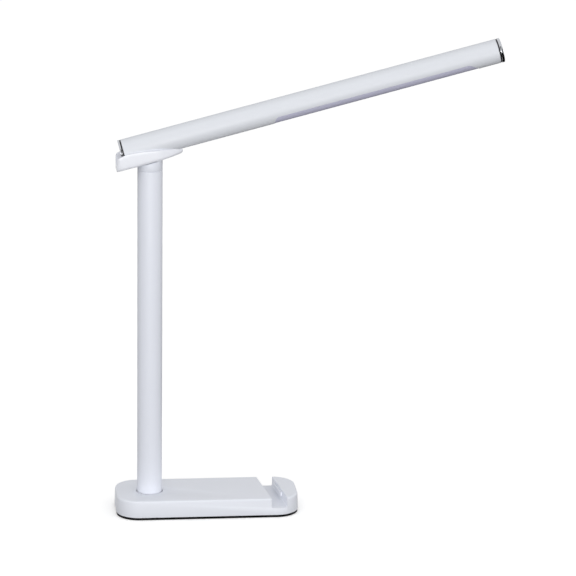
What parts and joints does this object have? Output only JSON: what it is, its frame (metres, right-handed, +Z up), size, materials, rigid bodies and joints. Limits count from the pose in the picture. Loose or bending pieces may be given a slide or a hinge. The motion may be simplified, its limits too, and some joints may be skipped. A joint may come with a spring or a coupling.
{
  "type": "desk lamp",
  "caption": "Folding desk lamp with a slim tubular light arm on a round swivelling post and a flat weighted base with a slanted phone slot.",
  "frame": {"origin": "on the desk under the foot pad, on the axis of the round post", "axes": "+X along the base towards the tip of the arm, +Z up along the post, -Y towards the front"},
  "size_m": [0.3855, 0.073, 0.4815],
  "materials": {
    "foot_rubber": "matte",
    "plate_steel": "satin",
    "white_shell": "satin",
    "soft_strip": "matte",
    "weight_iron": "matte",
    "screw_steel": "satin",
    "seat_plastic": "matte",
    "washer_plastic": "matte",
    "board_green": "satin",
    "spacer_brass": "satin",
    "touch_foam": "matte",
    "foot_zinc": "satin",
    "white_paint": "satin",
    "lead_sheath": "matte",
    "ring_chrome": "polished",
    "carrier_aluminium": "satin",
    "board_white": "satin",
    "led_amber": "satin",
    "diffuser_milky": "satin"
  },
  "bodies": {
    "base": {"foot_pad": "foot_rubber", "base_plate": "plate_steel", "base_cover": "white_shell", "slot_strip": "soft_strip", "counterweight": "weight_iron", "weight_screws": "screw_steel", "base_screws": "screw_steel", "swivel_seat": "seat_plastic", "seat_screws": "screw_steel", "thrust_washer": "washer_plastic", "control_board": "board_green", "board_spacers": "spacer_brass", "board_screws": "screw_steel", "power_inlet": "plate_steel", "touch_pad": "touch_foam"},
    "post": {"post_foot": "foot_zinc", "swivel_spring": "screw_steel", "swivel_nut": "screw_steel", "post_tube": "white_paint", "post_lead": "lead_sheath", "post_cap": "white_shell"},
    "arm": {"saddle": "white_shell", "saddle_screws": "screw_steel", "arm_anchor": "carrier_aluminium", "hinge_pin": "screw_steel", "hinge_washers": "screw_steel", "arm_tube": "white_paint", "rear_ring": "ring_chrome", "rear_cap": "white_shell", "tip_ring": "ring_chrome", "tip_cap": "white_shell", "led_carrier": "carrier_aluminium", "led_board": "board_white", "leds": "led_amber", "diffuser": "diffuser_milky"}
  },
  "joints": [
    {"name": "post_swivel", "type": "hinge", "parent": "base", "child": "post", "pos_m": [0, 0, 0], "axis": [0, 0, 1], "range_deg": [-90, 90]},
    {"name": "arm_fold", "type": "hinge", "parent": "post", "child": "arm", "pos_m": [0.01611, 0, 0.36908], "axis": [0, 1, 0], "range_deg": [0, 104.7]}
  ]
}
